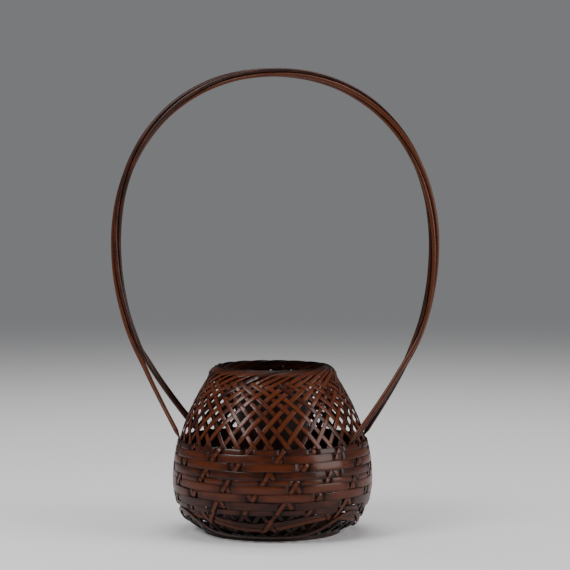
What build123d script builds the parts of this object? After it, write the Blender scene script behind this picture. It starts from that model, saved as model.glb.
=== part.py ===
"""A bamboo vase: a ring-mouth lattice basket with a hooped belly, a twisted cane handle and a water tube.

Millimetres, +Z up. The origin is on the floor under the middle of the base. The handle's arch stands in XZ.
"""

import os
from math import atan2, cos, degrees, pi, radians, sin, sqrt

from build123d import *

# Wall: the line from mouth to base that lies midway between the two layers of ribs
mouth_radius = 54.5
mouth_height = 156.5
belly_radius = 93.0
belly_height = 50.0
base_radius = 65.0

# Ribs: every strip touches the mouth once and runs down the wall both ways
rib_count = 36
rib_width = 4.3
rib_mouth_width = 3.6
rib_thickness = 0.6
rib_turning = 1.2
rib_tuck = 14.0
rib_settling_run = 45.0
rib_station_step = 9.0
rib_bend_step = 3.0
course_fineness = 110

# Hoops: flat strips round the belly, edge to edge, with a narrow one before and after each run of broad ones
hoop_count = 9
broad_hoops_together = 3
broad_hoop_width = 7.3
narrow_hoop_width = 4.5
hoop_thickness = 0.8
hoop_spacing = 0.3

# Foot: three waving strips low on the wall and a ring that the basket stands on
foot_room = 36.7
foot_strip_width = 3.8
foot_strip_thickness = 0.6
foot_wave_height = 4.6
inner_foot_waves = 4
inner_foot_sharpness = 2.0
inner_foot_turn = 2.0
outer_foot_wave_height = 12.0
outer_foot_waves = 3
outer_foot_sharpness = 6.0
outer_foot_turn = 34.0
foot_lap = 14.0
foot_stations = 56
foot_ring_width = 5.0
foot_ring_height = 4.0

# Base mat: two crossed layers of flat strips that lie on the ends of the ribs
mat_inset = 4.0
mat_strip_width = 8.0
mat_strip_pitch = 8.6
mat_strip_thickness = 0.7

# Handle: four canes twisted into an arch, which part into two pairs on either side and end in thin tips
cane_radius = 2.2
cane_spacing = 0.4
arch_half_width = 154.5
arch_top_height = 436.5
arch_widest_height = 273.0
arch_squareness = 2.12
arch_twists = 1
split_height = 210.0
split_inset = 8.0
leg_spread = 23.0
leg_start_pull = 56.0
leg_seat_pull = 4.0
leg_swing_share = 0.45
tip_tuck = 20.0
tip_taper = 12.0
tip_radius = 0.25
cane_sides = 12
arch_stations = 40
leg_stations = 14
taper_stations = 5
tip_stations = 6

# Water tube: a length of culm closed by its own node
tube_radius = 34.0
tube_wall = 5.0
tube_height = 136.0
tube_floor = 7.0
tube_node_height = 24.0
tube_node_proud = 1.2
tube_node_width = 6.0
tube_lip_round = 1.2

# Clearances
layer_gap = 0.12
seat_gap = 0.1
mat_gap = 0.35

# Sizes that follow from these
rib_lift = (rib_thickness + layer_gap) / 2
rib_stack = rib_lift + rib_thickness / 2
base_height = foot_ring_height + seat_gap + rib_stack
step_angle = 2 * pi / rib_count
course_step = mouth_radius / course_fineness
hoop_widths = [
    broad_hoop_width if number % (broad_hoops_together + 1) else narrow_hoop_width
    for number in range(hoop_count)
]
mat_radius = base_radius - mat_inset
split_half_width = arch_half_width - split_inset
cane_pitch = 2 * cane_radius + cane_spacing
tip_level = rib_stack + layer_gap
hoop_level = tip_level + 2 * tip_radius + layer_gap + hoop_thickness / 2

# The wall's line, from the mouth down over the shoulder, round the belly and in under the base
with BuildLine() as wall_line:
    shoulder_top = (mouth_radius, mouth_height)
    shoulder_knee = (belly_radius, (mouth_height + belly_height) / 2)
    Bezier(shoulder_top, shoulder_knee, (belly_radius, belly_height))
    EllipticalCenterArc(
        (base_radius, belly_height),
        belly_radius - base_radius,
        belly_height - base_height,
        start_angle=0,
        arc_size=-90,
    )
    Line((base_radius, base_height), (base_radius - rib_tuck, base_height))
wall = wall_line.wires()[0]
wall_length = wall.length
belly_drop = wall_line.edges().sort_by(Axis.Y)[-1].length
base_drop = wall_length - rib_tuck
hoop_bottom_drop = base_drop - foot_room
hoop_top_drop = hoop_bottom_drop - sum(hoop_widths) - hoop_spacing * hoop_count


def wall_place(drop):
    """Radius, height and the way down the wall at a distance below the mouth."""
    place = wall.position_at(drop, position_mode=PositionMode.LENGTH)
    way = wall.tangent_at(drop, position_mode=PositionMode.LENGTH)
    return place.X, place.Y, way.X, way.Y


def wall_frame(drop, turn, level):
    """A point over the wall, with the ways out of it, down it and round it."""
    radius, height, out_step, up_step = wall_place(drop)
    ahead = Vector(cos(turn), sin(turn), 0)
    around = Vector(-sin(turn), cos(turn), 0)
    outward = ahead * -up_step + Vector(0, 0, out_step)
    downward = ahead * out_step + Vector(0, 0, up_step)
    point = ahead * radius + Vector(0, 0, height) + outward * level
    return point, outward, downward, around


def ease(share):
    """A smooth step from 0 to 1."""
    share = min(max(share, 0.0), 1.0)
    return share * share * (3 - 2 * share)


def rib_course():
    """Half a rib from the mouth to its tucked end: run, drop, turn and dip at small steps."""
    run, drop, turn, dip = 0.0, 0.0, 0.0, 0.0
    course = []
    while drop < wall_length - course_step:
        radius, _, out_step, _ = wall_place(drop)
        course.append((run, drop, turn, dip))
        if drop < belly_drop:
            closeness = (mouth_radius / radius) ** (2 * rib_turning)
            dip += rib_turning * closeness / radius * out_step * course_step
        drop += dip * course_step
        turn += sqrt(1 - dip * dip) / radius * course_step
        run += course_step
    return course


def strip_plane(point, outward, along):
    """The plane across a strip, its x over the width and its y through the thickness."""
    return Plane(origin=point, x_dir=outward.cross(along), z_dir=along)


# Ribs
half_rib = rib_course()
mouth_rise = (rib_thickness + layer_gap) / (mouth_radius * step_angle)
crowded_run = max(
    run
    for run, drop, turn, dip in half_rib
    if wall_place(drop)[0] * step_angle * dip < rib_mouth_width + layer_gap and drop < belly_drop
)


def rib_level(run):
    """How far a rib lies off the wall's line: rising from the mouth while ribs crowd, then settling."""
    if run < crowded_run:
        return mouth_rise * run
    settled = ease((run - crowded_run) / rib_settling_run)
    return mouth_rise * crowded_run * (1 - settled) + rib_lift * settled


def rib_stations():
    """The places along half a rib that its sections stand at, closer together where the wall bends in."""
    chosen = [half_rib[0]]
    for place in half_rib:
        step = rib_station_step if place[1] < belly_drop else rib_bend_step
        if place[0] - chosen[-1][0] >= step:
            chosen.append(place)
    return chosen


half_stations = rib_stations()
rib_sections = [(-1, *place) for place in half_stations[:0:-1]] + [(1, *place) for place in half_stations]
with BuildPart() as first_rib:
    for side, run, drop, turn, dip in rib_sections:
        point, outward, downward, around = wall_frame(drop, side * turn, -side * rib_level(run))
        along = downward * (side * dip) + around * sqrt(1 - dip * dip)
        widening = ease((run - crowded_run) / rib_settling_run)
        with BuildSketch(strip_plane(point, outward, along)):
            Rectangle(rib_mouth_width + (rib_width - rib_mouth_width) * widening, rib_thickness)
    loft()

ribs = []
for number in range(1, rib_count + 1):
    with BuildPart() as rib_strip:
        add(first_rib.part, rotation=(0, 0, degrees(step_angle) * (number - 1)))
    rib_strip.part.label = f"rib_strip_{number:02d}"
    ribs.append(rib_strip.part)

# Hoops round the belly
hoops = []
hoop_edge = hoop_top_drop
for number, hoop_width in enumerate(hoop_widths, 1):
    radius, height, out_step, up_step = wall_place(hoop_edge + (hoop_width + hoop_spacing) / 2)
    hoop_edge += hoop_width + hoop_spacing
    lean = degrees(atan2(out_step, -up_step))
    with BuildPart() as hoop:
        with BuildSketch(Plane.XZ):
            with Locations((radius - up_step * hoop_level, height + out_step * hoop_level)):
                Rectangle(hoop_thickness, hoop_width, rotation=lean)
        revolve(axis=Axis.Z)
    hoop.part.label = f"hoop_{number}"
    hoops.append(hoop.part)

# Foot strips: two that wave side by side, and one that waves at its own pace on the outside
foot_pitch = foot_strip_thickness + layer_gap
foot_side_step = (foot_strip_width + hoop_spacing) / 2
foot_top_drop = hoop_bottom_drop + layer_gap + foot_strip_width / 2
inner_foot = (foot_wave_height, inner_foot_waves, inner_foot_sharpness, inner_foot_turn, 0)
outer_foot = (outer_foot_wave_height, outer_foot_waves, outer_foot_sharpness, outer_foot_turn, 2)
foot_courses = [
    (foot_top_drop, *inner_foot),
    (foot_top_drop + 2 * foot_side_step, *inner_foot),
    (foot_top_drop, *outer_foot),
]
foot_strips = []
for number, (top_drop, wave_height, waves, sharpness, start_turn, layer) in enumerate(foot_courses, 1):
    with BuildPart() as foot_strip:
        full_turn = 2 * pi + radians(foot_lap)
        for count in range(foot_stations + 1):
            share = count / foot_stations
            turn = share * full_turn
            lean = waves * turn / 2
            drop = top_drop + 2 * wave_height * (1 - abs(sin(lean)) ** sharpness)
            lapped = ease((share * full_turn - 2 * pi + 2 * radians(foot_lap)) / radians(foot_lap))
            level = rib_stack + layer_gap + foot_strip_thickness / 2 + foot_pitch * (layer + lapped)
            point, outward, downward, around = wall_frame(drop, turn + radians(start_turn), level)
            steepness = sharpness * abs(sin(lean)) ** (sharpness - 2) * sin(lean) * cos(lean)
            fall = -waves * wave_height * steepness
            along = (around * wall_place(drop)[0] + downward * fall).normalized()
            with BuildSketch(strip_plane(point, outward, along)):
                Rectangle(foot_strip_width, foot_strip_thickness)
        loft()
    foot_strip.part.label = f"foot_hoop_{number}"
    foot_strips.append(foot_strip.part)

# Foot ring
with BuildPart() as foot_ring:
    with BuildSketch():
        Circle(base_radius)
        Circle(base_radius - foot_ring_width, mode=Mode.SUBTRACT)
    extrude(amount=foot_ring_height)
foot_ring.part.label = "foot_ring"

# Base mat
mat_height = base_height + rib_stack + mat_gap
mat_strip_count = 2 * int((mat_radius - mat_strip_width / 2) / mat_strip_pitch) + 1
mats = []
for name, across, layer in (("base_mat_warp", 0, 0), ("base_mat_weft", 90, 1)):
    mat_floor = mat_height + layer * (mat_strip_thickness + layer_gap)
    with BuildPart() as mat:
        with BuildSketch(Plane.XY.offset(mat_floor)):
            with GridLocations(mat_strip_pitch, 0, mat_strip_count, 1):
                Rectangle(mat_strip_width, 2 * mat_radius)
            Circle(mat_radius, mode=Mode.INTERSECT)
        extrude(amount=mat_strip_thickness)
    mat.part.label = name
    mats.append(mat.part.rotate(Axis.Z, across))
mat_top = mat_height + 2 * mat_strip_thickness + layer_gap

# Water tube
tube_bottom = mat_top + seat_gap
with BuildPart() as water_tube:
    with BuildSketch(Plane.XY.offset(tube_bottom)):
        Circle(tube_radius)
    extrude(amount=tube_height)
    with BuildSketch(Plane.XY.offset(tube_bottom + tube_floor)):
        Circle(tube_radius - tube_wall)
    extrude(amount=tube_height - tube_floor, mode=Mode.SUBTRACT)
    fillet(water_tube.edges().group_by(Axis.Z)[-1], tube_lip_round)
    with BuildSketch(Plane.XZ):
        with BuildLine():
            ridge_low = (tube_radius, tube_bottom + tube_node_height - tube_node_width / 2)
            ridge_top = (tube_radius + tube_node_proud, tube_bottom + tube_node_height)
            ridge_high = (tube_radius, tube_bottom + tube_node_height + tube_node_width / 2)
            ThreePointArc(ridge_low, ridge_top, ridge_high)
            Line(ridge_high, ridge_low)
        make_face()
    revolve(axis=Axis.Z)
water_tube.part.label = "water_tube"


# Handle
def arch_place(share):
    """A place on the arch above its widest line; share goes from -1 on the left to 1 on the right."""
    lean = radians(90) * abs(share)
    reach = arch_half_width * sin(lean) ** (2 / arch_squareness)
    rise = (arch_top_height - arch_widest_height) * cos(lean) ** (2 / arch_squareness)
    return (reach if share > 0 else -reach, arch_widest_height + rise)


seat_drop = hoop_top_drop - layer_gap
cane_offset = cane_pitch / 2
crosswise = Vector(0, 1, 0)
with BuildLine(Plane.XZ) as arch_line:
    Spline(
        (-split_half_width, split_height),
        *[arch_place(count / 4) for count in range(-4, 5)],
        (split_half_width, split_height),
    )
arch = arch_line.edges()[0]


def leg_places(hand, pair, stack):
    """One cane from where the bundle parts, down its leg, to the end of its tip: its middle and its radius.

    hand is 1 on the right, pair is 1 at the back, and stack is 1 for the outer cane of its pair.
    """
    share = (1 + hand) / 2
    start = arch @ share + crosswise * (pair * cane_offset)
    start_way = (arch % share) * hand
    seat_turn = radians(90 - 90 * hand + hand * pair * leg_spread)
    seat, _, seat_way, seat_side = wall_frame(seat_drop, seat_turn, tip_level + tip_radius)
    seat_side = seat_side * hand
    leg = Edge.make_bezier(start, start + start_way * leg_start_pull, seat - seat_way * leg_seat_pull, seat)
    taper_start = 1 - tip_taper / leg.length
    shares = [taper_start * count / leg_stations for count in range(leg_stations)]
    shares += [taper_start + (1 - taper_start) * count / taper_stations for count in range(taper_stations)]
    places = []
    for share in shares:
        way = leg % share
        side = crosswise * (1 - share) + seat_side * share
        side = (side - way * side.dot(way)).normalized()
        out = way.cross(side) * hand
        swing = radians(90) * ease(share / leg_swing_share)
        apart = out * cos(swing) + side * (sin(swing) * pair)
        thinning = ease((share - taper_start) / (1 - taper_start))
        radius = cane_radius + (tip_radius - cane_radius) * thinning
        places.append((leg @ share + apart * (stack * cane_offset), radius))
    turn = seat_turn + hand * pair * stack * cane_offset / wall_place(seat_drop)[0]
    for count in range(tip_stations + 1):
        reach = tip_tuck * count / tip_stations
        places.append((wall_frame(seat_drop + reach, turn, tip_level + tip_radius)[0], tip_radius))
    return places


def cane_places(pair, stack):
    """One cane from its left tip over the twisted arch to its right tip: its middle and its radius."""
    places = leg_places(-1, pair, stack)[::-1]
    for count in range(1, arch_stations):
        share = count / arch_stations
        way = arch % share
        out = way.cross(crosswise)
        twist = 2 * pi * arch_twists * share
        stacked = out * cos(twist) + crosswise * sin(twist)
        paired = crosswise * cos(twist) - out * sin(twist)
        middle = arch @ share + stacked * (stack * cane_offset) + paired * (pair * cane_offset)
        places.append((middle, cane_radius))
    return places + leg_places(1, pair, stack)


canes = []
for number, (pair, stack) in enumerate(((-1, 1), (-1, -1), (1, 1), (1, -1)), 1):
    places = cane_places(pair, stack)
    with BuildPart() as cane:
        for count, (middle, radius) in enumerate(places):
            behind = places[max(count - 1, 0)][0]
            ahead = places[min(count + 1, len(places) - 1)][0]
            way = (ahead - behind).normalized()
            side = crosswise - way * crosswise.dot(way)
            with BuildSketch(Plane(origin=middle, x_dir=side, z_dir=way)):
                RegularPolygon(radius, cane_sides, rotation=180 / cane_sides)
        loft()
    cane.part.label = f"handle_cane_{number}"
    canes.append(cane.part)

# One file for each piece
os.makedirs("parts", exist_ok=True)
for piece in (*ribs, *hoops, *foot_strips, foot_ring.part, *mats, *canes, water_tube.part):
    export_step(piece, f"parts/{piece.label}.step")
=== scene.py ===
"""The looks of a bamboo vase: woven ribs and hoops, a twisted cane handle, a culm water tube and a studio.

Sizes are millimetres on the part's own frame and become metres when a mesh is filled.
"""

import math
from collections import namedtuple

import bpy
import numpy as np
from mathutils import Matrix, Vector


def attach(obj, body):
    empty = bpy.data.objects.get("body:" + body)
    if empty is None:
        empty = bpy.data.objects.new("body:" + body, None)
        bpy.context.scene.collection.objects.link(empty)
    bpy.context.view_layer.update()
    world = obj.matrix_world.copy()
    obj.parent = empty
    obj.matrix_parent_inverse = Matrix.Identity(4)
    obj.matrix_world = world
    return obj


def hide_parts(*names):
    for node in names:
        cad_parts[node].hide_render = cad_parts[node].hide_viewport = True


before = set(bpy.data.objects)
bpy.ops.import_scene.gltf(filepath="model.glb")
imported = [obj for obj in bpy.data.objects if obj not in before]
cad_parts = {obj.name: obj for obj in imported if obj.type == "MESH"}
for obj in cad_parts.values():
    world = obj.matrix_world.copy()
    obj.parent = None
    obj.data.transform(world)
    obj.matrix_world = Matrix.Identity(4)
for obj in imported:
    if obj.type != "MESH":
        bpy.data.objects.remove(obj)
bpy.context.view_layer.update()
mm = 0.001
full_turn = 360.0

# Wall
mouth_radius = 54.5
mouth_height = 156.5
belly_radius = 93.0
belly_height = 50.0
base_radius = 65.0
base_height = 4.76
rib_tuck = 14.0
shoulder_points = 600
flank_points = 400
tuck_points = 60

# Ribs
rib_count = 36
rib_gap = 10.0
rib_turning = 1.2
rib_width = 4.15
rib_mouth_widths = (4.4, 2.2)
mouth_width_run = 20.0
mouth_width_blend = 40.0
rib_thickness = 0.6
rib_crown = 0.08
rib_length = 535.0
rib_waver = 0.06
rib_stray = 0.55
rib_stray_most = 1.2
rib_stray_blend = 60.0
course_step = 0.5
rib_point_step = 3

# Weave of the ribs with one another
rib_lift = 0.36
float_crossings = 2
mouth_rise = 0.0757
over_at_rim = 6
rim_settling = (1.35, 0.75)

# Painted shade on the ribs: at the rim, among the hoops and under other ribs; and dark edges along them
rim_shades = (0.6, 0.95)
rim_back_shade = 0.6
rim_shade_run = 42.0
rim_outline = 1.6
rim_outline_run = 60.0
band_reach = 1.5
band_blend = 3.0
band_open_share = 0.8
under_shade = 0.35

# Hoops: each one's width, the degrees between its dips and the turn of its first dip
HoopRow = namedtuple("HoopRow", "width gap first")
hoop_rows = (
    HoopRow(4.5, 20, 5.8),
    HoopRow(7.3, 40, 2.0),
    HoopRow(7.3, 40, 21.0),
    HoopRow(7.3, 40, 1.0),
    HoopRow(4.5, 20, 15.2),
    HoopRow(7.3, 40, 13.8),
    HoopRow(7.3, 40, 33.0),
    HoopRow(7.3, 40, 13.8),
    HoopRow(4.5, 20, 8.0),
)
paired_dip_gap = 40
foot_room = 36.7
hoop_spacing = 0.3
hoop_thickness = 0.8
hoop_crown = 0.22
hoop_level = 1.8
hoop_points = 1100
hoop_cuts = 6
hoop_waver = 0.03
hoop_drift = 0.25
hoop_fullness = 0.6
hoop_pinch = 0.24
hoop_start_turn = 100.0
hoop_lap = 14.0
hoop_lap_room = 0.15

# Dips of the hoops under the ribs, the painted shade at and near the dips, and ribs raised over the dips
dip_fullness = 2.6
dip_level = 0.25
dip_half_width = 2.0
dip_ramp = 5.0
dip_shade = 0.5
dip_shade_share = 0.3
dip_shade_room = 2.0
raised_front_level = 1.7
raised_back_level = 1.0
raised_gap_share = 0.8
lift_reach = 1.6
lift_slope = 3.2
open_reach = 4.8

# Foot strips
FootStrip = namedtuple("FootStrip", "below wave_height waves sharpness low_turn level under_ribs")
foot_strips = (
    FootStrip(2.0, 4.6, 4, 2.0, 2.0, 1.08, True),
    FootStrip(5.6, 5.4, 4, 2.0, 2.0, 1.08, True),
    FootStrip(2.0, 12.0, 3, 6.0, 34.0, 2.52, False),
)
foot_strip_width = 3.7
foot_strip_fullness = 1.2
foot_strip_thickness = 0.6
foot_strip_crown = 0.1
foot_strip_points = 900
foot_strip_length = 560.0
foot_strip_waver = 0.05
foot_start_turn = 150.0
foot_lap_room = 0.12
foot_dip_turn = 0.0
foot_top_shade = 0.25
foot_low_shade = 0.5
foot_dip_shade = 0.9

# Handle
cane_radius = 2.05
cane_pitch = 4.05
cane_length = 990.0
cane_waver = 0.04
cane_sides = 16
arch_half_width = 154.5
arch_top_height = 436.5
arch_widest_height = 273.0
arch_squareness = 2.12
arch_curve_points = 241
arch_flank_points = 40
arch_points = 260
split_height = 210.0
split_half_width = 146.5
leg_spread = 23.0
leg_start_pull = 56.0
leg_seat_pull = 4.0
leg_swing_share = 0.45
leg_curve_points = 300
leg_points = 60
seat_room = 0.12
taper_points = 16
tip_taper = 12.0
tip_tuck = 20.0
tip_radius = 0.25
tip_level = 0.78
tip_points = 20

# Painted shade between the canes of a bundle or pair
bundle_reach = 4.0
crevice_shade_start = -0.4
crevice_shade = 1.2

# Meshes: softened edges, cuts across a strip, and how near the points of a cane's seam are joined
edge_share = 0.2
edge_segments = 2
edge_angle = 50
smooth_angle = 40
edge_soot_power = 4
strip_cuts = 4
merge_reach = 1e-6

# Unevenness of hand work: its seeds, and the lengths over which a strip wavers
stray_seed = 7
float_seed = 5
rib_seed = 100
hoop_seed = 200
foot_seed = 300
cane_seed = 400
waver_pitches = (37.0, 71.0, 153.0)

# Fibre: the UV map's scale, and the shift that gives each strip a patch of its own
uv_scale = 0.01
patch_shift_along = 731.0
patch_shift_across = 23.0
hoop_patch = 40
foot_patch = 60
cane_patch = 80

# Camera, as the photograph was taken
camera_turn = 12.0
camera_distance = 2100.0
camera_height = 356.0
camera_pitch = 3.3
camera_lens = 139.6
camera_sensor = 36.0
camera_shift = 0.0218


def ease(share):
    """A smooth step from 0 to 1."""
    share = np.clip(share, 0.0, 1.0)
    return share * share * (3 - 2 * share)


def wrapped(angle, period):
    """An angle brought to within half a period of nothing."""
    return (angle + period / 2) % period - period / 2


def unit(vectors):
    """Vectors brought to length one."""
    return vectors / np.linalg.norm(vectors, axis=-1, keepdims=True)


def run_along(line):
    """How far along a line of points each of them lies."""
    return np.concatenate([[0.0], np.cumsum(np.linalg.norm(np.diff(line, axis=0), axis=1))])


def points_at(stops, line):
    """The points of a line at the given runs along it."""
    run = run_along(line)
    return np.stack([np.interp(stops, run, line[:, axis]) for axis in range(3)], 1)


def wall_line():
    """The wall's line from the mouth to the tucked ends: distance down it, radius, height and direction."""
    share = np.linspace(0.0, 1.0, shoulder_points)
    knee_height = (mouth_height + belly_height) / 2
    shoulder_radius = mouth_radius * (1 - share) ** 2 + belly_radius * (1 - (1 - share) ** 2)
    shoulder_height = (
        mouth_height * (1 - share) ** 2 + knee_height * 2 * share * (1 - share) + belly_height * share**2
    )
    lean = np.linspace(0.0, math.pi / 2, flank_points)[1:]
    flank_radius = base_radius + (belly_radius - base_radius) * np.cos(lean)
    flank_height = belly_height - (belly_height - base_height) * np.sin(lean)
    under_radius = np.linspace(base_radius, base_radius - rib_tuck, tuck_points)[1:]
    radius = np.concatenate([shoulder_radius, flank_radius, under_radius])
    height = np.concatenate([shoulder_height, flank_height, np.full(len(under_radius), base_height)])
    steps = np.hypot(np.diff(radius), np.diff(height))
    drop = np.concatenate([[0.0], np.cumsum(steps)])
    out_step = np.gradient(radius, drop)
    up_step = np.gradient(height, drop)
    length = np.hypot(out_step, up_step)
    return drop, radius, height, out_step / length, up_step / length


wall = wall_line()
wall_length = wall[0][-1]
belly_drop = float(np.interp(-belly_height, -wall[2], wall[0]))
hoop_bottom_drop = wall_length - rib_tuck - foot_room
hoop_top_drop = hoop_bottom_drop - sum(row.width + hoop_spacing for row in hoop_rows)


def wall_at(drop):
    """Radius, height and the way down the wall at distances below the mouth."""
    return [np.interp(drop, wall[0], column) for column in wall[1:]]


def over_wall(drop, turn, level):
    """Points over the wall and the ways out of it, down it and round it."""
    radius, height, out_step, up_step = wall_at(drop)
    none = np.zeros_like(turn)
    ahead = np.stack([np.cos(turn), np.sin(turn), none], 1)
    around = np.stack([-np.sin(turn), np.cos(turn), none], 1)
    up = np.array([0.0, 0.0, 1.0])
    outward = ahead * -up_step[:, None] + up * out_step[:, None]
    downward = ahead * out_step[:, None] + up * up_step[:, None]
    point = ahead * radius[:, None] + up * height[:, None] + outward * level[:, None]
    return point, outward, downward, around


def rib_course():
    """Half a rib from the mouth to its tucked end: run, drop and turn at small steps."""
    run, drop, turn, dip = 0.0, 0.0, 0.0, 0.0
    course = []
    while drop < wall_length - course_step:
        radius, _, out_step, _ = wall_at(drop)
        course.append((run, drop, turn))
        if drop < belly_drop:
            closeness = (mouth_radius / radius) ** (2 * rib_turning)
            dip += rib_turning * closeness / radius * out_step * course_step
        drop += dip * course_step
        turn += math.sqrt(1 - dip * dip) / radius * course_step
        run += course_step
    return np.array(course).T


half_run, half_drop, half_turn = rib_course()
half_turn_degrees = np.degrees(half_turn)


# Each rib's two halves go round the wall in opposite ways and stray a little as they come down
stray_rng = np.random.default_rng(stray_seed)


def stray():
    """A small turn, in degrees, that a hand-laid rib is off its even place."""
    return float(np.clip(stray_rng.normal(0.0, rib_stray), -rib_stray_most, rib_stray_most))


stray_share = ease(half_drop / rib_stray_blend)
front_angles = []
back_angles = []
for number in range(rib_count):
    start = rib_gap * number + stray()
    front_angles.append(start - half_turn_degrees + stray() * stray_share)
    back_angles.append(start + half_turn_degrees + stray() * stray_share)


def nearest_rib(angles, drop, angle):
    """Which rib passes nearest to an angle at this drop, and where it passes."""
    passing = np.array([np.interp(drop, half_drop, course) for course in angles])
    apart = wrapped(passing - angle, full_turn)
    number = int(np.argmin(np.abs(apart)))
    return number, angle + float(apart[number])


class Belt:
    """A strip round the wall over most ribs, at each dip under a front and, if paired, a back rib."""

    def __init__(self, width, gap, first, drop_at, paired):
        self.width = width
        self.gap = gap
        self.drop_at = drop_at
        self.front_ribs = set()
        self.back_ribs = set()
        self.dips = []
        turn = float(np.interp(drop_at(first), half_drop, half_turn_degrees))
        offset = turn % rib_gap
        column = 0.0 if min(offset, rib_gap - offset) <= rib_gap / 4 else rib_gap / 2
        self.first = column + rib_gap * round((first - column) / rib_gap)
        for count in range(round(full_turn / gap)):
            middle = self.first + gap * count
            front, front_angle = nearest_rib(front_angles, drop_at(middle), middle)
            self.front_ribs.add(front)
            if paired:
                back, back_angle = nearest_rib(back_angles, drop_at(middle), middle)
                self.back_ribs.add(back)
                self.dips.append((min(front_angle, back_angle), max(front_angle, back_angle)))
            else:
                self.dips.append((front_angle, front_angle))

    def under(self, angle, half_width, ramp):
        """How deep the strip lies under its ribs at an angle: 1 under them and 0 on a float."""
        degree = math.radians(1) * float(wall_at(self.drop_at(self.first))[0])
        depth = np.zeros_like(angle)
        for low, high in self.dips:
            off_middle = np.abs(wrapped(angle - (low + high) / 2, full_turn))
            away = off_middle - (high - low) / 2 - half_width / degree
            depth = np.maximum(depth, 1 - ease(away / (ramp / degree)))
        return depth


def level_course(drop):
    """A hoop's even course, at one distance down the wall."""
    return lambda angle: drop + 0.0 * angle


def foot_course(strip):
    """How far down the wall a foot strip lies at an angle in degrees."""

    def drop_at(angle):
        rise = np.abs(np.sin(np.radians(strip.waves * (angle - strip.low_turn)) / 2)) ** strip.sharpness
        return hoop_bottom_drop + strip.below + 2 * strip.wave_height * (1 - rise)

    return drop_at


belts = []
edge = hoop_top_drop
for row in hoop_rows:
    course = level_course(edge + (row.width + hoop_spacing) / 2)
    belts.append(Belt(row.width, row.gap, row.first, course, row.gap == paired_dip_gap))
    edge += row.width + hoop_spacing
foot_belts = [
    Belt(foot_strip_width, paired_dip_gap, foot_dip_turn, foot_course(strip), True) for strip in foot_strips
]
dipping_belts = belts + [belt for belt, strip in zip(foot_belts, foot_strips) if strip.under_ribs]


# Strips: a flat grid bent along its course, then given its thickness and softened edges
def deselect():
    """Leave nothing selected."""
    for item in bpy.context.selected_objects:
        item.select_set(False)


def flat_grid(name, count, cuts):
    """A flat grid to bend, with each point's station along it and its share across it, from -1 to 1."""
    deselect()
    bpy.ops.mesh.primitive_grid_add(x_subdivisions=count - 1, y_subdivisions=cuts, size=1.0)
    piece = bpy.context.object
    piece.name = name
    mesh = piece.data
    mesh.name = name
    flat = np.empty(len(mesh.vertices) * 3)
    mesh.vertices.foreach_get("co", flat)
    flat = flat.reshape(-1, 3)
    station = np.rint((flat[:, 0] + 0.5) * (count - 1)).astype(int)
    return piece, station, flat[:, 1] * 2


def bend(piece, places):
    """Move a grid's points to their places on the part."""
    piece.data.vertices.foreach_set("co", (places * mm).ravel())
    piece.data.update()


def lay_out(piece, along, across, patch):
    """Set a piece's UV map to the run along it and the way across it, on its own patch of fibre."""
    mesh = piece.data
    corner = np.empty(len(mesh.loops), dtype=np.int32)
    mesh.loops.foreach_get("vertex_index", corner)
    along = along + patch_shift_along * patch
    across = across + patch_shift_across * patch
    places = np.stack([along[corner], across[corner]], 1) * uv_scale
    mesh.uv_layers.active.data.foreach_set("uv", places.astype(np.float32).ravel())


def mark(piece, name, values):
    """Keep a value for each point of a piece."""
    layer = piece.data.attributes.new(name, "FLOAT", "POINT")
    layer.data.foreach_set("value", np.asarray(values, dtype=np.float32))


def thicken(piece, thickness):
    """Give a bent sheet its thickness and round its long edges."""
    wall_maker = piece.modifiers.new("thickness", "SOLIDIFY")
    wall_maker.thickness = thickness * mm
    wall_maker.offset = 0.0
    wall_maker.use_even_offset = True
    softener = piece.modifiers.new("edges", "BEVEL")
    softener.width = edge_share * thickness * mm
    softener.segments = edge_segments
    softener.limit_method = "ANGLE"
    softener.angle_limit = math.radians(edge_angle)
    bpy.ops.object.modifier_apply(modifier="thickness")
    bpy.ops.object.modifier_apply(modifier="edges")
    bpy.ops.object.shade_smooth_by_angle(angle=math.radians(smooth_angle))


def bent_strip(
    name, middle, outward, widths, thickness, crown, painted_shade, tone, patch, cuts=strip_cuts, outline=0.0
):
    """A strip that follows a line of points, with its skin side outward."""
    along = unit(np.gradient(middle, axis=0))
    across = unit(np.cross(outward, along))
    skin = np.cross(along, across)
    piece, station, share = flat_grid(name, len(middle), cuts)
    sideways = share * widths[station] / 2
    bulge = crown * (1 - share**2)
    bend(piece, middle[station] + across[station] * sideways[:, None] + skin[station] * bulge[:, None])
    lay_out(piece, run_along(middle)[station], sideways, patch)
    mark(piece, "tone", np.full(len(share), tone))
    edge_soot = 1 + np.broadcast_to(outline, len(middle))
    mark(piece, "edge", np.abs(share) ** edge_soot_power * edge_soot[station])
    # Painted shade, kept as a mark for the finish to darken and dull the strip
    mark(piece, "painted_shade", painted_shade[station])
    thicken(piece, thickness)
    return piece


def slow_waver(length, count, rng, size):
    """A gentle hand-made unevenness along a strip."""
    place = np.linspace(0.0, 1.0, count)
    waver = np.zeros(count)
    for pitch in waver_pitches:
        waver += np.sin(2 * math.pi * (place * length / pitch + rng.random())) * rng.random()
    return waver * size / (len(waver_pitches) / 2)


# Ribs
crossing_gap = rib_gap / 2
crossing_count = int(half_turn_degrees[-1] / crossing_gap) + 2
rim_levels = [
    mouth_rise * float(np.interp(crossing_gap * crossing, half_turn_degrees, half_run))
    for crossing in range(over_at_rim + 1)
]
rim_levels += rim_settling
float_starts = np.random.default_rng(float_seed).integers(0, 2, rib_count)


def front_crossing(number, crossing):
    """How far out a rib's front half lies where it crosses the back half of another rib."""
    if crossing < len(rim_levels):
        return rim_levels[crossing]
    over = (crossing + float_starts[number]) // float_crossings % 2 == 0
    return rib_lift if over else -rib_lift


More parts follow.
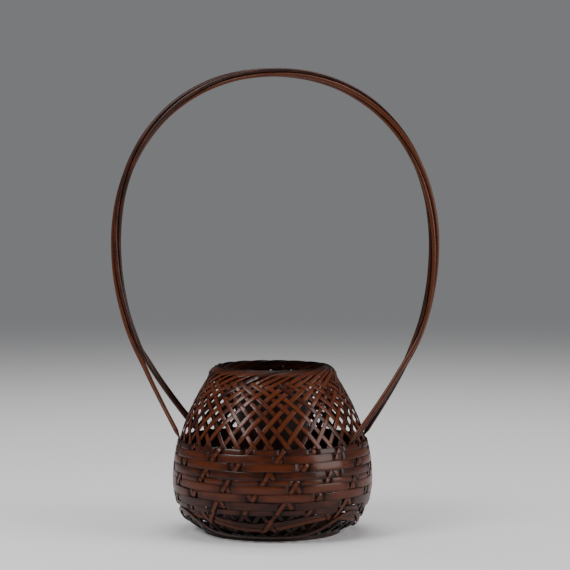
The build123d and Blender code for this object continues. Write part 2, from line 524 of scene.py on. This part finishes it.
def woven_level(number, front):
    """How far half a rib lies out from the wall all along, over and under the ribs that it crosses."""
    counts = range(crossing_count)
    if front:
        levels = np.array([front_crossing(number, count) for count in counts])
    else:
        levels = np.array([-front_crossing((number + count) % rib_count, count) for count in counts])
    crossing = np.floor(half_turn_degrees / crossing_gap).astype(int)
    share = ease(half_turn_degrees / crossing_gap - crossing)
    return levels[crossing] * (1 - share) + levels[crossing + 1] * share


def raised(level, number, angle, top, front):
    """Lift half a rib over the belts that pass under it, and say where it lies open to the light there."""
    open_share = np.zeros_like(level)
    for belt in dipping_belts:
        if number in (belt.front_ribs if front else belt.back_ribs):
            apart = np.abs(half_drop - belt.drop_at(angle))
            off_dips = wrapped(angle[np.argmin(apart)] - np.mean(belt.dips, axis=1), full_turn)
            if np.min(np.abs(off_dips)) < rib_gap * raised_gap_share:
                lift = ease((belt.width / 2 + lift_reach - apart) / lift_slope)
                level = np.maximum(level, level * (1 - lift) + top * lift)
                open_here = ease((belt.width / 2 + open_reach - apart) / lift_slope)
                open_share = np.maximum(open_share, open_here)
    return level, open_share


banded = ease((half_drop - hoop_top_drop + band_reach) / band_blend)
rimmed = 1 - ease(half_run / rim_shade_run)


def rib_painted_shade(woven, open_share, rim_shade):
    """How much painted shade half a rib gets all along: at the rim, under other ribs and among the hoops.
    """
    band_shade = banded * (1 - band_open_share * open_share)
    under_rib_shade = under_shade * ease(-woven / rib_lift) * (1 - banded)
    return np.maximum(np.maximum(band_shade, under_rib_shade), rim_shade * rimmed)


def whole_rib(front, back):
    """Values along a rib from the end of its front half up to the mouth and down its back half."""
    return np.concatenate([front[:0:-1], back])


rib_drop = whole_rib(half_drop, half_drop)
rib_run = whole_rib(half_run, half_run)
last_point = len(rib_drop) - 1
rib_points = np.unique(np.concatenate([np.arange(0, last_point + 1, rib_point_step), [last_point]]))
rib_drop = rib_drop[rib_points]
rib_run = rib_run[rib_points]
rib_pieces = []
for number in range(rib_count):
    rng = np.random.default_rng(rib_seed + number)
    front_woven = woven_level(number, True)
    back_woven = woven_level(number, False)
    front_level, front_open = raised(front_woven, number, front_angles[number], raised_front_level, True)
    back_level, back_open = raised(back_woven, number, back_angles[number], raised_back_level, False)
    # Painted shade along each half of the rib
    front_painted_shade = rib_painted_shade(front_woven, front_open, rim_shades[number % 2])
    back_painted_shade = rib_painted_shade(back_woven, back_open, rim_back_shade)
    turn = np.radians(whole_rib(front_angles[number], back_angles[number]))[rib_points]
    level = whole_rib(front_level, back_level)[rib_points]
    painted_shade = whole_rib(front_painted_shade, back_painted_shade)[rib_points]
    middle, outward, _, _ = over_wall(rib_drop, turn, level)
    mouth_width = rib_mouth_widths[number % 2]
    width = mouth_width + (rib_width - mouth_width) * ease((rib_run - mouth_width_run) / mouth_width_blend)
    width = width * (1 + slow_waver(rib_length, len(rib_points), rng, rib_waver))
    piece = bent_strip(
        f"rib_{number + 1:02d}",
        middle,
        outward,
        width,
        rib_thickness,
        rib_crown,
        painted_shade,
        rng.random(),
        number,
        outline=rim_outline * (1 - ease(rib_run / rim_outline_run)),
    )
    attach(piece, "basket")
    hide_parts(f"rib_strip_{number + 1:02d}")
    rib_pieces.append(piece)


def lap_sink(angle, start):
    """How far a strip has sunk under its own beginning: 0 at first and 1 all along the lap."""
    return ease((angle - start - full_turn + hoop_lap) / hoop_lap)


# Hoops
hoop_pieces = []
for number, belt in enumerate(belts, 1):
    rng = np.random.default_rng(hoop_seed + number)
    start = belt.first + belt.gap / 2 + hoop_start_turn
    angle = np.linspace(start, start + full_turn + hoop_lap, hoop_points)
    under = belt.under(angle, dip_half_width, dip_ramp)
    level = hoop_level + (dip_level - hoop_level) * under
    level = level - lap_sink(angle, start) * (hoop_thickness + hoop_lap_room)
    drop = belt.drop_at(angle)
    length = math.radians(full_turn + hoop_lap) * float(wall_at(drop[0])[0])
    shade_reach = dip_shade_share * belt.gap
    ends = belt.under(angle, dip_half_width, shade_reach)
    width = belt.width * (1 - hoop_pinch * ends * (1 - ends)) + hoop_fullness + dip_fullness * under
    width = width * (1 + slow_waver(length, len(angle), rng, hoop_waver))
    drop = drop + slow_waver(length, len(angle), rng, hoop_drift)
    middle, outward, _, _ = over_wall(drop, np.radians(angle), level)
    # Painted shade on the hoop: darker where it dips under the ribs and near the dips
    near_dip = belt.under(angle, dip_half_width + dip_shade_room, shade_reach)
    painted_shade = np.maximum(ease(2 * under), dip_shade * near_dip)
    piece = bent_strip(
        f"belt_{number}",
        middle,
        outward,
        width,
        hoop_thickness,
        hoop_crown,
        painted_shade,
        rng.random(),
        hoop_patch + number,
        cuts=hoop_cuts,
    )
    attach(piece, "basket")
    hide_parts(f"hoop_{number}")
    hoop_pieces.append(piece)

# Foot strips
for number, (strip, belt) in enumerate(zip(foot_strips, foot_belts), 1):
    rng = np.random.default_rng(foot_seed + number)
    start = strip.low_turn + foot_start_turn
    angle = np.linspace(start, start + full_turn + hoop_lap, foot_strip_points)
    drop = belt.drop_at(angle)
    under = belt.under(angle, dip_half_width, dip_ramp) if strip.under_ribs else np.zeros_like(angle)
    level = strip.level + (dip_level - strip.level) * under
    level = level - lap_sink(angle, start) * (foot_strip_thickness + foot_lap_room)
    lowness = (drop - drop.min()) / (drop.max() - drop.min())
    width = foot_strip_width + foot_strip_fullness * lowness
    width = width * (1 + slow_waver(foot_strip_length, len(angle), rng, foot_strip_waver))
    middle, outward, _, _ = over_wall(drop, np.radians(angle), level)
    # Painted shade on the foot strip: darker towards the bottom and where it dips under the ribs
    low = ease((drop - hoop_bottom_drop) / foot_room)
    painted_shade = np.maximum(foot_top_shade + foot_low_shade * low, foot_dip_shade * under)
    piece = bent_strip(
        f"foot_wave_{number}",
        middle,
        outward,
        width,
        foot_strip_thickness,
        foot_strip_crown,
        painted_shade,
        rng.random(),
        foot_patch + number,
    )
    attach(piece, "basket")
    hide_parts(f"foot_hoop_{number}")
    rib_pieces.append(piece)


# Handle
def arch_line():
    """The arch's middle from the left split over the top to the right split, evenly spaced."""
    lean = np.linspace(-1.0, 1.0, arch_curve_points)
    swing = np.radians(90) * np.abs(lean)
    rounding = 2 / arch_squareness
    reach = np.sign(lean) * arch_half_width * np.sin(swing) ** rounding
    rise = arch_widest_height + (arch_top_height - arch_widest_height) * np.cos(swing) ** rounding
    drop_share = np.linspace(1.0, 0.0, arch_flank_points, endpoint=False)
    flank = arch_half_width - (arch_half_width - split_half_width) * drop_share**2
    low = arch_widest_height - (arch_widest_height - split_height) * drop_share
    reach = np.concatenate([-flank, reach, flank[::-1]])
    rise = np.concatenate([low, rise, low[::-1]])
    line = np.stack([reach, np.zeros(len(reach)), rise], 1)
    return points_at(np.linspace(0.0, run_along(line)[-1], arch_points), line)


crosswise = np.array([0.0, 1.0, 0.0])
arch = arch_line()
seat_drop = hoop_top_drop - seat_room
seat_level = tip_level + tip_radius


def leg_line(hand, pair, stack):
    """One cane's middle and radius from the split down its leg to the end of its tip."""
    start = arch[-1 if hand > 0 else 0] + crosswise * (pair * cane_pitch / 2)
    start_way = unit(arch[-1] - arch[-2]) if hand > 0 else unit(arch[0] - arch[1])
    seat_turn = math.radians(90 - 90 * hand + hand * pair * leg_spread)
    seat_place = over_wall(np.array([seat_drop]), np.array([seat_turn]), np.array([seat_level]))
    seat, _, seat_way, seat_side = (item[0] for item in seat_place)
    seat_side = seat_side * hand
    even = np.linspace(0.0, 1.0, leg_curve_points)[:, None]
    pulls = (start, start + start_way * leg_start_pull, seat - seat_way * leg_seat_pull, seat)
    curve = (
        pulls[0] * (1 - even) ** 3
        + pulls[1] * 3 * even * (1 - even) ** 2
        + pulls[2] * 3 * even**2 * (1 - even)
        + pulls[3] * even**3
    )
    length = run_along(curve)[-1]
    taper_start = 1 - tip_taper / length
    upper_share = np.linspace(0.0, taper_start, leg_points, endpoint=False)
    taper_share = np.linspace(taper_start, 1.0, taper_points, endpoint=False)
    share = np.concatenate([upper_share, taper_share])[:, None]
    line = points_at(share[:, 0] * length, curve)
    way = unit(np.gradient(line, axis=0))
    side = crosswise * (1 - share) + seat_side * share
    side = unit(side - way * np.sum(side * way, axis=1)[:, None])
    out = np.cross(way, side) * hand
    swing = math.radians(90) * ease(share / leg_swing_share)
    apart = out * np.cos(swing) + side * (np.sin(swing) * pair)
    line = line + apart * (stack * cane_pitch / 2)
    seat_radius = float(wall_at(seat_drop)[0])
    thinning = ease((share[:, 0] - taper_start) / (1 - taper_start))
    leg_radius = cane_radius + (tip_radius - cane_radius) * thinning
    reach = np.linspace(0.0, tip_tuck, tip_points)
    turn = np.full(len(reach), seat_turn + hand * pair * stack * cane_pitch / 2 / seat_radius)
    tip = over_wall(seat_drop + reach, turn, np.full(len(reach), seat_level))[0]
    radius = np.concatenate([leg_radius, np.full(len(reach), tip_radius)])
    return np.concatenate([line, tip]), radius


def cane_line(pair, stack):
    """One cane's middle and radius from its left tip over the twisted arch to its right tip."""
    left, left_radius = leg_line(-1, pair, stack)
    right, right_radius = leg_line(1, pair, stack)
    share = np.linspace(0.0, 1.0, len(arch))[1:-1, None]
    way = unit(np.gradient(arch, axis=0))[1:-1]
    out = np.cross(way, crosswise)
    twist = 2 * math.pi * share
    stacked = out * np.cos(twist) + crosswise * np.sin(twist)
    paired = crosswise * np.cos(twist) - out * np.sin(twist)
    bundle = arch[1:-1] + stacked * (stack * cane_pitch / 2) + paired * (pair * cane_pitch / 2)
    middle = np.concatenate([left[::-1], bundle, right])
    radius = np.concatenate([left_radius[::-1], np.full(len(bundle), cane_radius), right_radius])
    return middle, radius


def round_cane(name, middle, radius, inward, tone, patch):
    """A rod that follows a line of points: a grid rolled up and joined along its seam."""
    along = unit(np.gradient(middle, axis=0))
    side = unit(crosswise - along * (along @ crosswise)[:, None])
    up = np.cross(along, side)
    piece, station, share = flat_grid(name, len(middle), cane_sides)
    roll = (share + 1) * math.pi
    spoke = side[station] * np.cos(roll)[:, None] + up[station] * np.sin(roll)[:, None]
    bend(piece, middle[station] + spoke * radius[station][:, None])
    lay_out(piece, run_along(middle)[station], roll * cane_radius, patch)
    mark(piece, "tone", np.full(len(roll), tone))
    mark(piece, "edge", np.zeros(len(roll)))
    # Painted shade on the side of the cane that faces its neighbours
    facing = np.sum(spoke * inward[station], axis=1)
    mark(piece, "painted_shade", crevice_shade * ease((facing - crevice_shade_start) / (1 - crevice_shade_start)))
    bpy.ops.object.mode_set(mode="EDIT")
    bpy.ops.mesh.select_all(action="SELECT")
    bpy.ops.mesh.remove_doubles(threshold=merge_reach)
    bpy.ops.mesh.select_all(action="DESELECT")
    bpy.ops.mesh.select_non_manifold(extend=False)
    bpy.ops.mesh.fill_holes(sides=cane_sides)
    bpy.ops.mesh.select_all(action="SELECT")
    bpy.ops.mesh.normals_make_consistent(inside=False)
    bpy.ops.object.mode_set(mode="OBJECT")
    bpy.ops.object.shade_smooth_by_angle(angle=math.radians(smooth_angle))
    return piece


cane_kinds = ((-1, 1), (-1, -1), (1, 1), (1, -1))
cane_lines = {kind: cane_line(*kind) for kind in cane_kinds}
bundle_middle = sum(line for line, _ in cane_lines.values()) / len(cane_kinds)


def towards_neighbours(pair, stack):
    """The way from one cane to the middle of the bundle or, below the split, of its pair."""
    middle = cane_lines[pair, stack][0]
    pair_middle = (middle + cane_lines[pair, -stack][0]) / 2
    bundled = np.linalg.norm(bundle_middle - middle, axis=1)[:, None] < bundle_reach
    return unit(np.where(bundled, bundle_middle, pair_middle) - middle)


cane_pieces = []
for number, (pair, stack) in enumerate(cane_kinds, 1):
    rng = np.random.default_rng(cane_seed + number)
    middle, radius = cane_lines[pair, stack]
    radius = radius * (1 + slow_waver(cane_length, len(radius), rng, cane_waver))
    inward = towards_neighbours(pair, stack)
    piece = round_cane(f"cane_{number}", middle, radius, inward, rng.random(), cane_patch + number)
    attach(piece, "basket")
    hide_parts(f"handle_cane_{number}")
    cane_pieces.append(piece)


# Finishes
fibre_scale = (9.0, 190.0, 1.0)
blotch_scale = (5.0, 22.0, 1.0)
own_tone_share = 0.4
streak_share = 0.5
streak_middle = 0.25
# Strength of the painted shade in the finish
painted_shade_strength = 0.82
tone_stops = (0.30, 0.62, 0.95)
# Colour of the dark edges and of the painted shade
soot_and_shade = (0.004, 0.0016, 0.001)


def node(tree, kind, place, **settings):
    """One shader node with its settings."""
    made = tree.nodes.new(kind)
    made.location = place
    for name, value in settings.items():
        setattr(made, name, value)
    return made


def fibre_group():
    """Long fibre streaks and tone patches along a strip, from its UV map, and dark edges and painted shade
    from its own marks.
    """
    tree = bpy.data.node_groups.new("bamboo_fibre", "ShaderNodeTree")
    face = tree.interface
    face.new_socket(name="Streak", in_out="INPUT", socket_type="NodeSocketFloat").default_value = 1.0
    face.new_socket(name="Tone", in_out="OUTPUT", socket_type="NodeSocketFloat")
    face.new_socket(name="Fibre", in_out="OUTPUT", socket_type="NodeSocketFloat")
    face.new_socket(name="Edges and shade", in_out="OUTPUT", socket_type="NodeSocketFloat")
    given = node(tree, "NodeGroupInput", (-1100, 0))
    out = node(tree, "NodeGroupOutput", (900, 0))
    place = node(tree, "ShaderNodeTexCoord", (-1100, 300))
    fine_map = node(tree, "ShaderNodeMapping", (-850, 400))
    fine_map.inputs["Scale"].default_value = fibre_scale
    broad_map = node(tree, "ShaderNodeMapping", (-850, 0))
    broad_map.inputs["Scale"].default_value = blotch_scale
    fine = node(tree, "ShaderNodeTexNoise", (-600, 400))
    fine.inputs["Scale"].default_value = 1.0
    fine.inputs["Detail"].default_value = 3.0
    broad = node(tree, "ShaderNodeTexNoise", (-600, 0))
    broad.inputs["Scale"].default_value = 1.0
    broad.inputs["Detail"].default_value = 4.0
    tone = node(tree, "ShaderNodeAttribute", (-600, -300), attribute_name="tone")
    edge = node(tree, "ShaderNodeAttribute", (-600, -520), attribute_name="edge")
    # Reads the painted shade marked on each piece
    shade_mark = node(tree, "ShaderNodeAttribute", (-600, -740), attribute_name="painted_shade")
    streak = node(tree, "ShaderNodeMath", (-300, 250), operation="MULTIPLY_ADD")
    streak.inputs[2].default_value = -streak_middle
    own_tone = node(tree, "ShaderNodeMath", (-300, -200), operation="MULTIPLY_ADD")
    own_tone.inputs[1].default_value = own_tone_share
    sum_tone = node(tree, "ShaderNodeMath", (-50, 100), operation="MULTIPLY_ADD")
    sum_tone.inputs[1].default_value = streak_share
    edge_grime = node(tree, "ShaderNodeMath", (-300, -500), operation="MULTIPLY")
    shade_darkening = node(tree, "ShaderNodeMath", (-300, -740), operation="MULTIPLY")
    shade_darkening.inputs[1].default_value = painted_shade_strength
    edges_and_shade = node(tree, "ShaderNodeMath", (0, -600), operation="ADD", use_clamp=True)
    link = tree.links.new
    link(place.outputs["UV"], fine_map.inputs["Vector"])
    link(place.outputs["UV"], broad_map.inputs["Vector"])
    link(fine_map.outputs["Vector"], fine.inputs["Vector"])
    link(broad_map.outputs["Vector"], broad.inputs["Vector"])
    link(tone.outputs["Fac"], own_tone.inputs[0])
    link(broad.outputs["Fac"], own_tone.inputs[2])
    link(fine.outputs["Fac"], streak.inputs[0])
    link(given.outputs["Streak"], streak.inputs[1])
    link(streak.outputs["Value"], sum_tone.inputs[0])
    link(own_tone.outputs["Value"], sum_tone.inputs[2])
    link(sum_tone.outputs["Value"], out.inputs["Tone"])
    link(fine.outputs["Fac"], out.inputs["Fibre"])
    link(edge.outputs["Fac"], edge_grime.inputs[0])
    link(broad.outputs["Fac"], edge_grime.inputs[1])
    link(shade_mark.outputs["Fac"], shade_darkening.inputs[0])
    link(edge_grime.outputs["Value"], edges_and_shade.inputs[0])
    link(shade_darkening.outputs["Value"], edges_and_shade.inputs[1])
    link(edges_and_shade.outputs["Value"], out.inputs["Edges and shade"])
    return tree


fibre = fibre_group()


def bamboo(name, dark, middle, light, streak, coat, coat_roughness):
    """Smoked and lacquered bamboo: fibre streaks under a clear coat, dark along edges, with painted shade
    in recesses that also dulls the coat.
    """
    finish = bpy.data.materials.new(name)
    finish.use_nodes = True
    tree = finish.node_tree
    shader = tree.nodes["Principled BSDF"]
    grain = node(tree, "ShaderNodeGroup", (-900, 0), node_tree=fibre)
    grain.inputs["Streak"].default_value = streak
    ramp = node(tree, "ShaderNodeValToRGB", (-650, 150))
    ramp.color_ramp.elements[0].position = tone_stops[0]
    ramp.color_ramp.elements[0].color = (*dark, 1)
    ramp.color_ramp.elements[1].position = tone_stops[2]
    ramp.color_ramp.elements[1].color = (*light, 1)
    between = ramp.color_ramp.elements.new(tone_stops[1])
    between.color = (*middle, 1)
    darken = node(tree, "ShaderNodeMix", (-300, 150), data_type="RGBA")
    darken.inputs["B"].default_value = (*soot_and_shade, 1)
    # Coat dulled along the dark edges and where shade is painted
    gloss = node(tree, "ShaderNodeMapRange", (-650, -480))
    gloss.inputs["To Min"].default_value = coat
    gloss.inputs["To Max"].default_value = 0.1
    rough = node(tree, "ShaderNodeMapRange", (-650, -200))
    rough.inputs["To Min"].default_value = 0.5
    rough.inputs["To Max"].default_value = 0.32
    bump = node(tree, "ShaderNodeBump", (-300, -300))
    bump.inputs["Strength"].default_value = 0.08
    bump.inputs["Distance"].default_value = 0.0002
    link = tree.links.new
    link(grain.outputs["Tone"], ramp.inputs["Fac"])
    link(grain.outputs["Edges and shade"], darken.inputs["Factor"])
    link(ramp.outputs["Color"], darken.inputs["A"])
    link(darken.outputs["Result"], shader.inputs["Base Color"])
    link(grain.outputs["Edges and shade"], gloss.inputs["Value"])
    link(gloss.outputs["Result"], shader.inputs["Coat Weight"])
    link(grain.outputs["Fibre"], rough.inputs["Value"])
    link(rough.outputs["Result"], shader.inputs["Roughness"])
    link(grain.outputs["Fibre"], bump.inputs["Height"])
    link(bump.outputs["Normal"], shader.inputs["Normal"])
    shader.inputs["Coat Roughness"].default_value = coat_roughness
    shader.inputs["Coat IOR"].default_value = 1.5
    shader.inputs["Specular IOR Level"].default_value = 0.1
    return finish


rib_finish = bamboo(
    "smoked_ribs",
    dark=(0.006, 0.0011, 0.0004),
    middle=(0.027, 0.0045, 0.001),
    light=(0.09, 0.0185, 0.0042),
    streak=1.0,
    coat=0.3,
    coat_roughness=0.16,
)
hoop_finish = bamboo(
    "smoked_belts",
    dark=(0.006, 0.0011, 0.0004),
    middle=(0.025, 0.0041, 0.0009),
    light=(0.072, 0.0148, 0.0033),
    streak=1.0,
    coat=0.3,
    coat_roughness=0.16,
)
cane_finish = bamboo(
    "smoked_canes",
    dark=(0.005, 0.001, 0.0004),
    middle=(0.021, 0.004, 0.001),
    light=(0.072, 0.0165, 0.0041),
    streak=1.0,
    coat=0.3,
    coat_roughness=0.3,
)


def culm():
    """Dark culm: long fibre along the height, from near black to brown, with a low gloss."""
    finish = bpy.data.materials.new("dark_culm")
    finish.use_nodes = True
    tree = finish.node_tree
    shader = tree.nodes["Principled BSDF"]
    place = node(tree, "ShaderNodeTexCoord", (-1100, 0))
    stretch = node(tree, "ShaderNodeMapping", (-900, 0))
    stretch.inputs["Scale"].default_value = (420.0, 420.0, 12.0)
    fibres = node(tree, "ShaderNodeTexNoise", (-700, 0))
    fibres.inputs["Scale"].default_value = 1.0
    fibres.inputs["Detail"].default_value = 4.0
    ramp = node(tree, "ShaderNodeValToRGB", (-450, 100))
    ramp.color_ramp.elements[0].position = 0.3
    ramp.color_ramp.elements[0].color = (0.009, 0.0036, 0.0018, 1)
    ramp.color_ramp.elements[1].position = 0.75
    ramp.color_ramp.elements[1].color = (0.044, 0.016, 0.0068, 1)
    bump = node(tree, "ShaderNodeBump", (-450, -250))
    bump.inputs["Strength"].default_value = 0.15
    bump.inputs["Distance"].default_value = 0.0003
    link = tree.links.new
    link(place.outputs["Object"], stretch.inputs["Vector"])
    link(stretch.outputs["Vector"], fibres.inputs["Vector"])
    link(fibres.outputs["Fac"], ramp.inputs["Fac"])
    link(ramp.outputs["Color"], shader.inputs["Base Color"])
    link(fibres.outputs["Fac"], bump.inputs["Height"])
    link(bump.outputs["Normal"], shader.inputs["Normal"])
    shader.inputs["Roughness"].default_value = 0.4
    shader.inputs["Specular IOR Level"].default_value = 0.25
    return finish


culm_finish = culm()


def dress(piece, finish):
    """Give a piece one finish all over."""
    piece.data.materials.clear()
    piece.data.materials.append(finish)


for piece in rib_pieces:
    dress(piece, rib_finish)
for piece in hoop_pieces:
    dress(piece, hoop_finish)
for piece in cane_pieces:
    dress(piece, cane_finish)
for name in ("water_tube", "foot_ring", "base_mat_warp", "base_mat_weft"):
    for place in range(len(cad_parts[name].material_slots)):
        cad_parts[name].material_slots[place].material = culm_finish

# Studio, in metres
floor_radius = 6.0
floor_sides = 96
floor_fade_start = 0.8
floor_fade_end = 3.0
camera_sight = 50.0


def fading_floor():
    """A pale floor finish that fades into the air far from the vase."""
    finish = bpy.data.materials.new("pale_floor")
    finish.use_nodes = True
    tree = finish.node_tree
    shader = tree.nodes["Principled BSDF"]
    shader.inputs["Base Color"].default_value = (0.8, 0.8, 0.81, 1)
    shader.inputs["Roughness"].default_value = 0.75
    place = node(tree, "ShaderNodeTexCoord", (-800, 300))
    reach = node(tree, "ShaderNodeVectorMath", (-600, 300), operation="LENGTH")
    fade = node(tree, "ShaderNodeMapRange", (-400, 300), interpolation_type="SMOOTHSTEP")
    fade.inputs["From Min"].default_value = floor_fade_start
    fade.inputs["From Max"].default_value = floor_fade_end
    open_air = node(tree, "ShaderNodeBsdfTransparent", (0, -300))
    mix = node(tree, "ShaderNodeMixShader", (350, 100))
    link = tree.links.new
    link(place.outputs["Object"], reach.inputs[0])
    link(reach.outputs["Value"], fade.inputs["Value"])
    link(fade.outputs["Result"], mix.inputs["Fac"])
    link(shader.outputs["BSDF"], mix.inputs[1])
    link(open_air.outputs["BSDF"], mix.inputs[2])
    link(mix.outputs["Shader"], tree.nodes["Material Output"].inputs["Surface"])
    return finish


deselect()
bpy.ops.mesh.primitive_circle_add(
    vertices=floor_sides, radius=floor_radius, fill_type="NGON", location=(0, 0, 0)
)
floor = bpy.context.object
floor.name = "studio_floor"
floor.data.materials.append(fading_floor())


def soft_light(name, place, aim, width, height, power, tint):
    """A rectangular soft box that faces a point."""
    lamp = bpy.data.lights.new(name, "AREA")
    lamp.shape = "RECTANGLE"
    lamp.size = width
    lamp.size_y = height
    lamp.energy = power
    lamp.color = tint
    holder = bpy.data.objects.new(name, lamp)
    holder.location = place
    holder.rotation_euler = (Vector(aim) - Vector(place)).to_track_quat("-Z", "Y").to_euler()
    bpy.context.scene.collection.objects.link(holder)


soft_light("left_box", (-0.75, -0.95, 1.0), (0, 0, 0.12), 0.6, 0.6, 15.0, (1.0, 0.97, 0.96))
soft_light("right_box", (2.23, -0.41, 0.84), (0, 0, 0.1), 1.49, 1.57, 43.6, (1.0, 0.96, 0.94))
soft_light("top_box", (0.0, 0.3, 2.0), (0, 0, 0.1), 1.4, 1.4, 26.0, (1.0, 1.0, 1.0))

world = bpy.context.scene.world or bpy.data.worlds.new("studio_air")
bpy.context.scene.world = world
world.use_nodes = True
air = world.node_tree.nodes.get("Background") or world.node_tree.nodes.new("ShaderNodeBackground")
air.inputs["Color"].default_value = (0.8, 0.81, 0.83, 1)
air.inputs["Strength"].default_value = 0.24

lens = bpy.data.cameras.new("photo_camera")
lens.lens = camera_lens
lens.sensor_width = camera_sensor
lens.shift_x = camera_shift
lens.clip_end = camera_sight
camera = bpy.data.objects.new("photo_camera", lens)
around = math.radians(camera_turn)
camera.location = (
    math.sin(around) * camera_distance * mm,
    -math.cos(around) * camera_distance * mm,
    camera_height * mm,
)
camera.rotation_euler = (math.radians(90 - camera_pitch), 0, around)
bpy.context.scene.collection.objects.link(camera)
bpy.context.scene.camera = camera
